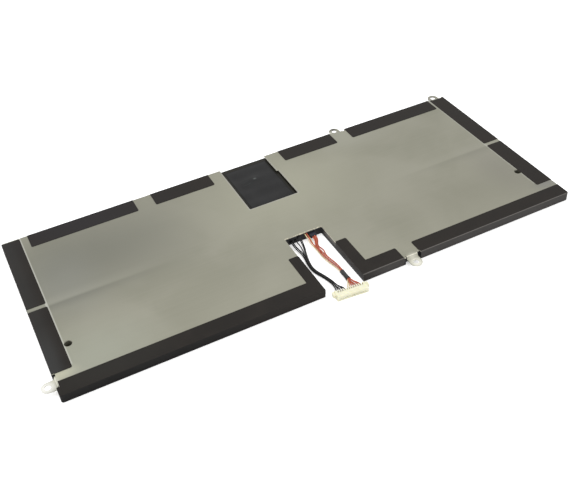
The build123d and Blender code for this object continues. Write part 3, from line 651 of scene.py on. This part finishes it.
# A thin painted highlight line along the right front fold.
right_front_highlight = product(
    tree,
    ramp(tree, y_axis, -0.06225, -0.06250),
    ramp(tree, z_axis, 0.00465, 0.00485),
    ramp(tree, x_axis, 0.005, 0.020, 0.0, 0.85),
)
tone = blend(tree, right_front_highlight, tone, (0.120, 0.112, 0.104))
# Painted sheen on the outer strip of the two left tapes.
painted_sheen_strip = product(
    tree,
    ramp(tree, x_axis, -0.1400, -0.1478),
    ramp(tree, flat, 0.5, 0.9),
    ramp(tree, y_axis, -0.0500, -0.0470),
    ramp(tree, y_axis, -0.010, -0.035, 0.45, 1.0),
)
tone = blend(tree, painted_sheen_strip, tone, (0.027, 0.027, 0.026))

# %% Uneven black on the left tapes, and painted light and shade on the front walls
tone = lay_patches(tree, tone, [
    ((-0.100, 0.060), (0.070, 0.030), 0.8, (0.0150, 0.0130, 0.0145)),
    ((-0.125, -0.057), (0.050, 0.012), 0.7, (0.0160, 0.0150, 0.0125)),
])
# Painted light on the right of the front walls and painted shade on their left.
front_wall = product(tree, ramp(tree, flat, 0.4, 0.1), ramp(tree, y_axis, -0.060, -0.0625))
lit_wall = product(tree, front_wall, ramp(tree, x_axis, 0.010, 0.030))
painted_shade_wall = product(tree, front_wall, ramp(tree, x_axis, -0.02, -0.09))
tone = blend(tree, lit_wall, tone, (0.042, 0.039, 0.037))
tone = blend(tree, painted_shade_wall, tone, (0.0015, 0.0013, 0.0010))
tree.links.new(tone, shader.inputs["Base Color"])
print("finish", edge_tape.name)

# %% [markdown]
# ## Painted light on the frame, and marks on the window film
# Light that falls into the two locating holes and onto the window's right wall is painted there as a paler
# colour. The film over the board is pressed down along its rim, which leaves a duller border with a thin
# dark line. A bubble near its middle gets a painted highlight, and the creases beside it painted glints.

# %% Painted light in the holes and on the window's wall
tree, shader, tone = tone_so_far(frame_plastic)
x_axis, y_axis, _ = axes(tree)
# Painted light in the two locating holes.
tone = lay_patches(tree, tone, [
    (hole, (0.0032, 0.0032), 1.0, (0.360, 0.350, 0.260)) for hole in ((-0.1372, -0.0317), (0.1386, -0.0317))
])
# Painted light on the window's right wall.
window_wall_light = product(
    tree,
    ramp(tree, x_axis, 0.0160, 0.0163),
    ramp(tree, x_axis, 0.0230, 0.0220),
    ramp(tree, y_axis, 0.0170, 0.0180),
    0.8,
)
tone = blend(tree, window_wall_light, tone, (0.034, 0.033, 0.026))
tree.links.new(tone, shader.inputs["Base Color"])
print("marks on", frame_plastic.name)

# %% Pressed rim, and painted highlights on the creases and the bubble
tree, shader, tone = tone_so_far(panel_film)
x_axis, y_axis, _ = axes(tree)
film_low, film_high = (Vector(corner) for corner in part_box("board_cover"))
film_middle = (film_low + film_high) / 2
blister = Vector((1.6, 45.8)) * millimetre
border = 0.0030
inward = 1.0
for axis, middle, end in ((x_axis, film_middle.x, film_high.x), (y_axis, film_middle.y, film_high.y)):
    from_edge = maths(tree, "SUBTRACT", end - middle, distance(tree, axis, middle))
    inward = maths(tree, "MINIMUM", inward, from_edge)
tone = blend(tree, ramp(tree, inward, border, border - 0.0004, 0.0, 0.9), tone, (0.0125, 0.0115, 0.0080))
border_line = ramp(tree, distance(tree, inward, border), 0.0001, 0.0004, 0.8, 0.0)
tone = blend(tree, border_line, tone, (0.0012, 0.0012, 0.0012))
# Painted glints along the creases beside the bubble.
creases = noise(tree, on_object(tree, (0.016, 0.0012, 0.01), turn=0.18), 1.0, 2.0, 0.5)
crease_field = patch(tree, (-0.0030, 0.0440), (0.0080, 0.0075))
creases = product(tree, ramp(tree, creases, 0.50, 0.62), crease_field, 0.7)
tone = blend(tree, creases, tone, (0.022, 0.025, 0.024))
# A painted highlight on the bubble.
tone = blend(tree, patch(tree, blister, (0.0016, 0.0011)), tone, (0.085, 0.095, 0.090))
tree.links.new(tone, shader.inputs["Base Color"])
print("marks on", panel_film.name)

# %% [markdown]
# ## Finishes: wire skins and the plug
# The wire skins are soft glossy plastic. Their colour is slightly uneven along the wire, which a low noise
# gives. The plug is cream nylon that lets a little light in, so it gets a small amount of subsurface scatter.

# %% Wire skins and plug


def skin_finish(name, dark, light, roughness, glow=0.0, depth=1.0, sheen=0.5):
    """A coloured plastic finish with a slightly uneven tone."""
    made, tree, shader = new_finish(name, roughness)
    clouds = noise(tree, on_object(tree), 260.0, 2.0)
    grain = noise(tree, on_object(tree), 5000.0, 2.0)
    tree.links.new(blend(tree, ramp(tree, clouds, 0.3, 0.7), dark, light), shader.inputs["Base Color"])
    feed(tree, shader.inputs["Roughness"], ramp(tree, clouds, 0.3, 0.7, roughness - 0.05, roughness + 0.08))
    tree.links.new(bump(tree, grain, 0.000005, 0.5), shader.inputs["Normal"])
    shader.inputs["Subsurface Weight"].default_value = glow
    shader.inputs["Subsurface Radius"].default_value = (0.0006, 0.0005, 0.0003)
    shader.inputs["Subsurface Scale"].default_value = depth
    shader.inputs["Specular IOR Level"].default_value = sheen
    return made


wire_skins = {
    "wire_black": skin_finish("wire_black", (0.006, 0.006, 0.006), (0.012, 0.012, 0.012), 0.5, sheen=0.25),
    "wire_red": skin_finish("wire_red", (0.36, 0.070, 0.036), (0.50, 0.120, 0.066), 0.5, sheen=0.3),
    "wire_white": skin_finish("wire_white", (0.60, 0.49, 0.28), (0.70, 0.59, 0.37), 0.5, sheen=0.3),
    "wire_yellow": skin_finish("wire_yellow", (0.56, 0.32, 0.10), (0.66, 0.42, 0.16), 0.5, sheen=0.3),
}
plug_nylon = skin_finish("plug_nylon", (0.72, 0.70, 0.51), (0.79, 0.77, 0.59), 0.45, glow=0.25, depth=2.0)
print("skins", len(wire_skins) + 1)

# %% [markdown]
# ## Finishes: what lies inside
# Nobody sees the cells and the board unless the sheet is lifted, but the model can be opened up, so
# they are finished too: laminated foil, white tape, nickel, solder, brass contacts, green board and ceramics.

# %% Inner finishes


def metal_finish(name, dark, light, roughness, scale, depth):
    """A metal with two tones, uneven gloss and a fine bump."""
    made, tree, shader = new_finish(name, roughness, metallic=1.0)
    clouds = noise(tree, on_object(tree), scale, 3.0, 0.3)
    tree.links.new(blend(tree, ramp(tree, clouds, 0.3, 0.7), dark, light), shader.inputs["Base Color"])
    feed(tree, shader.inputs["Roughness"], ramp(tree, clouds, 0.3, 0.7, roughness - 0.06, roughness + 0.1))
    tree.links.new(bump(tree, clouds, depth, 0.6), shader.inputs["Normal"])
    return made


pouch_foil = metal_finish(
    "pouch_foil", (0.60, 0.61, 0.62), (0.72, 0.72, 0.73), roughness=0.38, scale=70.0, depth=0.0001,
)
nickel = metal_finish(
    "nickel", (0.56, 0.54, 0.49), (0.66, 0.64, 0.59), roughness=0.32, scale=500.0, depth=0.00001,
)
solder = metal_finish(
    "solder", (0.60, 0.60, 0.60), (0.72, 0.72, 0.73), roughness=0.22, scale=900.0, depth=0.00004,
)
contact_brass = metal_finish(
    "contact_brass", (0.62, 0.49, 0.22), (0.74, 0.61, 0.31), roughness=0.3, scale=700.0, depth=0.000008,
)
bond_tape = skin_finish("bond_tape", (0.74, 0.74, 0.70), (0.82, 0.82, 0.79), 0.7)
board_mask = skin_finish("board_mask", (0.010, 0.090, 0.040), (0.016, 0.130, 0.060), 0.35)
pale_ceramic = skin_finish("pale_ceramic", (0.62, 0.60, 0.54), (0.72, 0.70, 0.65), 0.5)
tan_ceramic = skin_finish("tan_ceramic", (0.32, 0.20, 0.11), (0.42, 0.28, 0.17), 0.45)
print("inner finishes", 8)

# %% [markdown]
# ## Finishes on the CAD nodes
# A node keeps its mesh and gets its finish in its own material slots. The name of each node says what it is,
# so a short table of name starts is enough.

# %% Dress the nodes
finish_of = [
    ("base_film", base_film),
    ("frame", frame_plastic),
    ("cover_plate", sheet_metal),
    ("board_cover", panel_film),
    ("circuit_board", board_mask),
    ("weld_plates", nickel),
    ("wire_joints", solder),
    ("wire_grommet", block_plastic),
    ("bundle_sleeve", sleeve_film),
    ("controller_chip", chip_resin),
    ("protector_chip", chip_resin),
    ("switch_transistors", chip_resin),
    ("sense_resistor", chip_resin),
    ("thermistor", chip_resin),
    ("fuse", pale_ceramic),
    ("capacitors", tan_ceramic),
    ("plug_housing", plug_nylon),
    ("plug_contacts", contact_brass),
    ("cell_tape_", bond_tape),
    ("cell_", pouch_foil),
    ("tab_", nickel),
    ("back_tape_", edge_tape),
    ("left_tape_", edge_tape),
    ("right_tape_", edge_tape),
    ("front_tape_", edge_tape),
]


def finish_for(name):
    """The finish whose name start fits a node."""
    for start, finish in finish_of:
        if name.startswith(start):
            return finish
    return None


dressed = 0
for name, node in nodes.items():
    finish = finish_for(name)
    if finish is None:
        continue
    node.data.materials.clear()
    node.data.materials.append(finish)
    dressed += 1
print("nodes dressed", dressed)

# %% [markdown]
# ## Small pieces that repeat
# Solder joints, weld spots, chip legs, end caps and crimps are each one small soft-edged block, repeated many
# times. They could be copied in a loop, but a Geometry Nodes tree says it once: take marks, set a block on
# each, round the block by subdivision with creased edges, and vary it a little with a fixed seed. The marks
# are the only thing that differs from one kind to the next, along with the block's size.

# %% Tree: soft blocks on marks
block_tree = bpy.data.node_groups.new("soft_blocks_on_marks", "GeometryNodeTree")
socket_of = {}
for label, kind in (
    ("Marks", "NodeSocketGeometry"),
    ("Size", "NodeSocketVector"),
    ("Crease", "NodeSocketFloat"),
    ("Unevenness", "NodeSocketFloat"),
    ("Seed", "NodeSocketInt"),
    ("Finish", "NodeSocketMaterial"),
):
    socket_of[label] = block_tree.interface.new_socket(label, in_out="INPUT", socket_type=kind).identifier
block_tree.interface.new_socket("Pieces", in_out="OUTPUT", socket_type="NodeSocketGeometry")
given = block_tree.nodes.new("NodeGroupInput")
result = block_tree.nodes.new("NodeGroupOutput")
block = block_tree.nodes.new("GeometryNodeMeshCube")
soft = block_tree.nodes.new("GeometryNodeSubdivisionSurface")
soft.inputs["Level"].default_value = 2
wobble = block_tree.nodes.new("FunctionNodeRandomValue")
wobble.data_type = "FLOAT_VECTOR"
placed = block_tree.nodes.new("GeometryNodeInstanceOnPoints")
real = block_tree.nodes.new("GeometryNodeRealizeInstances")
painted = block_tree.nodes.new("GeometryNodeSetMaterial")
low = maths(block_tree, "SUBTRACT", 1.0, given.outputs["Unevenness"])
high = maths(block_tree, "ADD", 1.0, given.outputs["Unevenness"])
for source, target in (
    (given.outputs["Size"], block.inputs["Size"]),
    (block.outputs["Mesh"], soft.inputs["Mesh"]),
    (given.outputs["Crease"], soft.inputs["Edge Crease"]),
    (low, wobble.inputs[0]),
    (high, wobble.inputs[1]),
    (given.outputs["Seed"], wobble.inputs["Seed"]),
    (given.outputs["Marks"], placed.inputs["Points"]),
    (soft.outputs["Mesh"], placed.inputs["Instance"]),
    (wobble.outputs[0], placed.inputs["Scale"]),
    (placed.outputs["Instances"], real.inputs["Geometry"]),
    (real.outputs["Geometry"], painted.inputs["Geometry"]),
    (given.outputs["Finish"], painted.inputs["Material"]),
    (painted.outputs["Geometry"], result.inputs["Pieces"]),
):
    block_tree.links.new(source, target)
print("tree nodes", len(block_tree.nodes))

# %% From marks to one plain mesh


def piece_from(name, mesh):
    """A mesh as an object of its own in the scene."""
    made = bpy.data.objects.new(name, mesh)
    bpy.context.scene.collection.objects.link(made)
    return made


def blocks_on(name, marks, size, finish, crease, unevenness=0.0, seed=1):
    """One plain mesh of soft blocks, a block on each mark, in millimetres."""
    points = bpy.data.meshes.new(name + "_marks")
    points.from_pydata([Vector(mark) * millimetre for mark in marks], [], [])
    holder = piece_from(name + "_marks", points)
    steps = holder.modifiers.new("blocks", "NODES")
    steps.node_group = block_tree
    steps[socket_of["Size"]] = [value * millimetre for value in size]
    steps[socket_of["Crease"]] = crease
    steps[socket_of["Unevenness"]] = unevenness
    steps[socket_of["Seed"]] = seed
    steps[socket_of["Finish"]] = finish
    bpy.context.view_layer.update()
    ready = bpy.context.evaluated_depsgraph_get()
    mesh = bpy.data.meshes.new_from_object(holder.evaluated_get(ready), depsgraph=ready)
    holder.modifiers.clear()
    bpy.data.objects.remove(holder)
    mesh.shade_smooth()
    made = piece_from(name, mesh)
    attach(made, "root")
    print(name, "marks", len(marks), "faces", len(mesh.polygons))
    return made


# %% [markdown]
# ## Solder joints and weld spots
# A wire's bared end lies in a drop of solder on its pad. Surface tension pulls the drop round, so its crease
# is low and its size varies. Each cell tab is spot-welded to its plate with six small round welds.

# %% Solder and welds
board_top = 1.55
joint_y = 5.35
tab_columns = (17.95, 19.15)
block_joint_xs = [3.75 + 0.9 * i for i in range(len(block_starts))]
joint_xs = [start[0] for name, length, start in single_wires] + block_joint_xs
joint_marks = [(bay_origin.x + x, bay_origin.y + joint_y, board_top + 0.40) for x in joint_xs]
drop_size = (0.78, 1.75, 0.95)
solder_drops = blocks_on("solder_drops", joint_marks, drop_size, solder, crease=0.35, unevenness=0.06, seed=3)
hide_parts("wire_joints")

weld_marks = [
    (side * x, row * (place + across), 1.90)
    for side in (-1, 1)
    for row in (-1, 1)
    for place in (8.0, 22.0)
    for x in tab_columns
    for across in (-1.3, 0.0, 1.3)
]
weld_size = (0.85, 0.85, 0.12)
weld_spots = blocks_on("weld_spots", weld_marks, weld_size, nickel, crease=0.0, unevenness=0.08, seed=5)

# %% [markdown]
# ## Legs and end caps on the board
# The controller has eleven legs on each long side at a 0.6 mm pitch, and each switch transistor four at
# 1.27 mm. The ceramic parts have a soldered metal cap on both ends. All of them stand on the board's top.

# %% Legs and caps
controller_x, controller_y = -2.5, 36.55
leg_pitch = 0.6
switch_pitch = 1.27
power_row_y = 46.55
leg_marks = [
    (controller_x + leg_pitch * (i - 5), controller_y + side * 3.5, board_top + 0.08)
    for side in (-1, 1)
    for i in range(11)
]
chip_legs = blocks_on("controller_legs", leg_marks, (0.28, 0.85, 0.16), nickel, crease=0.85)
switch_marks = [
    (x + switch_pitch * (i - 1.5), power_row_y + side * 3.25, board_top + 0.1)
    for x in (-5.5, 1.5)
    for side in (-1, 1)
    for i in range(4)
]
switch_legs = blocks_on("switch_legs", switch_marks, (0.45, 0.9, 0.2), nickel, crease=0.85)
cap_places = [(2.6 * i - 8.5, 27.05) for i in range(6)] + [(12.5, 30.55 + 2.4 * i) for i in range(5)]
cap_marks = [(x, y + side * 0.66, board_top + 0.41) for x, y in cap_places for side in (-1, 1)]
cap_size = (0.92, 0.42, 0.92)
capacitor_caps = blocks_on("capacitor_caps", cap_marks, cap_size, solder, crease=0.8, unevenness=0.02, seed=7)
shunt_marks = [(1.5 + side * 2.9, 12.55, board_top + 0.31) for side in (-1, 1)]
shunt_caps = blocks_on("shunt_caps", shunt_marks, (0.8, 3.4, 0.72), solder, crease=0.85)
fuse_marks = [(10.0, power_row_y + side * 2.4, board_top + 0.56) for side in (-1, 1)]
fuse_caps = blocks_on("fuse_caps", fuse_marks, (4.05, 0.75, 1.26), solder, crease=0.85)

# %% [markdown]
# ## Crimps in the plug
# Each wire ends in a stamped contact whose two pairs of wings are folded round the conductor and the skin.
# They are seen in the slots at the plug's back, two small bands to a wire. The plug is turned a little, so
# the marks are turned with it.

# %% Crimp bands
crimp_marks = []
for way in range(plug_ways):
    across = (way - (plug_ways - 1) / 2) * plug_pitch
    for depth in (-1.15, -1.75):
        crimp_marks.append(Vector(plug_place(across, depth, plug_height / 2)) + bay_origin)
crimp_bands = blocks_on("crimp_bands", crimp_marks, (0.76, 0.36, 0.82), contact_brass, crease=0.7)

# %% [markdown]
# ## The heat-shrink sleeve
# A short black sleeve is shrunk over the seven wires of the red bundle. On the real one the film follows the
# wires, so it shows soft ridges along it, and its front end opens where the wires start to fan out. A tube
# from a curve bevel would be perfectly round, so the rings are made here: along the middle wire's own smooth
# line, with a radius that rises over each of the six outer wires.

# %% Sleeve rings along the middle wire


def smooth_line(points):
    """The points of a wire's smooth line, read from its own spline without a bevel."""
    bare = wire_curve("middle_line", 0.0, points)
    bare.data.resolution_u = 12
    ready = bpy.context.evaluated_depsgraph_get()
    mesh = bpy.data.meshes.new_from_object(bare.evaluated_get(ready), depsgraph=ready)
    line = [vertex.co.copy() for vertex in mesh.vertices]
    bpy.data.objects.remove(bare)
    return line


def sleeve_radius(share, angle):
    """The sleeve's outer radius in millimetres, at a share of its length and an angle round it."""
    flare = 0.16 * max(0.0, share - 0.8) / 0.2 + 0.05 * max(0.0, 0.06 - share) / 0.06
    pinch = 0.025 * math.sin(share * 9.0) + 0.015 * math.sin(share * 23.0 + 1.0)
    ridge = 0.035 * math.cos(6 * angle + 0.4 * math.sin(share * 4.0))
    return 1.235 + ridge + pinch + flare


middle_wire = next(points for name, skin, thickness, length, points in wires if name == "wire_red_2")
sleeve_from = (bay_origin.y - 34.7) * millimetre
sleeve_to = (bay_origin.y - 42.3) * millimetre
stretch = [point for point in smooth_line(middle_wire) if sleeve_to < point.y < sleeve_from]
along = (stretch[-1] - stretch[0]).normalized()
side_way = along.cross(Vector((0, 0, 1))).normalized()
up_way = side_way.cross(along)
ring_count = 30
ring_sides = 48
outer_share, inner_share = 1.0, 0.9
sleeve_mesh = bmesh.new()
shells = []
for wall in (outer_share, inner_share):
    rings = []
    for i in range(ring_count + 1):
        share = i / ring_count
        middle = stretch[0].lerp(stretch[-1], share)
        ring = []
        for j in range(ring_sides):
            angle = 2 * math.pi * j / ring_sides
            radius = sleeve_radius(share, angle) * wall * millimetre
            offset = side_way * math.cos(angle) + up_way * math.sin(angle)
            ring.append(sleeve_mesh.verts.new(middle + offset * radius))
        rings.append(ring)
    shells.append(rings)
outer, inner = shells
for rings, turned in ((outer, False), (inner, True)):
    for first, second in zip(rings, rings[1:]):
        for j in range(ring_sides):
            face = [first[j], first[j - 1], second[j - 1], second[j]]
            sleeve_mesh.faces.new(face[::-1] if turned else face)
for i in (0, -1):
    for j in range(ring_sides):
        sleeve_mesh.faces.new([outer[i][j], outer[i][j - 1], inner[i][j - 1], inner[i][j]])
bmesh.ops.recalc_face_normals(sleeve_mesh, faces=sleeve_mesh.faces)
sleeve_data = bpy.data.meshes.new("shrunk_sleeve")
sleeve_mesh.to_mesh(sleeve_data)
sleeve_mesh.free()
sleeve_data.shade_smooth()
sleeve_data.materials.append(sleeve_film)
shrunk_sleeve = piece_from("shrunk_sleeve", sleeve_data)
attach(shrunk_sleeve, "root")
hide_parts("bundle_sleeve")
print("sleeve length", round((stretch[-1] - stretch[0]).length / millimetre, 2))

# %% [markdown]
# ## The film over the board
# The black film in the window lies loosely on its ledge. It has a shallow blister near its middle, sinks a
# little between the frame's ribs and is held flat along its edges. A fine grid with a height for each point
# gives that relief a real silhouette, which a bump alone doesn't.

# %% Film grid
film_columns, film_rows = 66, 92
held_width = 0.004
blister_reach = 0.0032
rib_spacing = 0.0113


def film_rise(x, y):
    """How far the film stands over its flat height, in metres, held to nothing at its edges."""
    edge = min(x - film_low.x, film_high.x - x, y - film_low.y, film_high.y - y) / held_width
    held = max(0.0, min(1.0, edge))
    away = (Vector((x, y)) - blister).length / blister_reach
    dome = 0.00026 * math.exp(-away * away)
    slack = 0.00006 * math.sin(x * 210.0 + 1.0) * math.sin(y * 160.0)
    dip = -0.00008 * math.cos((y - film_low.y) * 2 * math.pi / rib_spacing)
    return held * held * (dome + slack + dip)


grid = bmesh.new()
top = []
for i in range(film_columns + 1):
    x = film_low.x + (film_high.x - film_low.x) * i / film_columns
    column = []
    for j in range(film_rows + 1):
        y = film_low.y + (film_high.y - film_low.y) * j / film_rows
        column.append(grid.verts.new((x, y, film_high.z + film_rise(x, y))))
    top.append(column)
for first, second in zip(top, top[1:]):
    for j in range(film_rows):
        grid.faces.new([first[j], second[j], second[j + 1], first[j + 1]])
rim_edges = [edge for edge in grid.edges if edge.is_boundary]
wall = bmesh.ops.extrude_edge_only(grid, edges=rim_edges)["geom"]
for vertex in wall:
    if isinstance(vertex, bmesh.types.BMVert):
        vertex.co.z = film_low.z
bmesh.ops.holes_fill(grid, edges=[edge for edge in grid.edges if edge.is_boundary])
bmesh.ops.recalc_face_normals(grid, faces=grid.faces)
film_data = bpy.data.meshes.new("window_film")
grid.to_mesh(film_data)
grid.free()
film_data.shade_smooth()
film_data.set_sharp_from_angle(angle=math.radians(40.0))
film_data.materials.append(panel_film)
window_film = piece_from("window_film", film_data)
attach(window_film, "root")
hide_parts("board_cover")
print("film faces", len(film_data.polygons))

# %% [markdown]
# ## Riding and replacing
# Every piece rides on the one body. Each wire gets its skin's finish and replaces its CAD tube, which is
# hidden.

for name, skin, thickness, length, points in wires:
    lead = wire_objects[name]
    lead.data.materials.append(wire_skins[skin])
    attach(lead, "root")
    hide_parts(name)
print("cords declared", len(wires))

# %% Update the scene
bpy.context.view_layer.update()
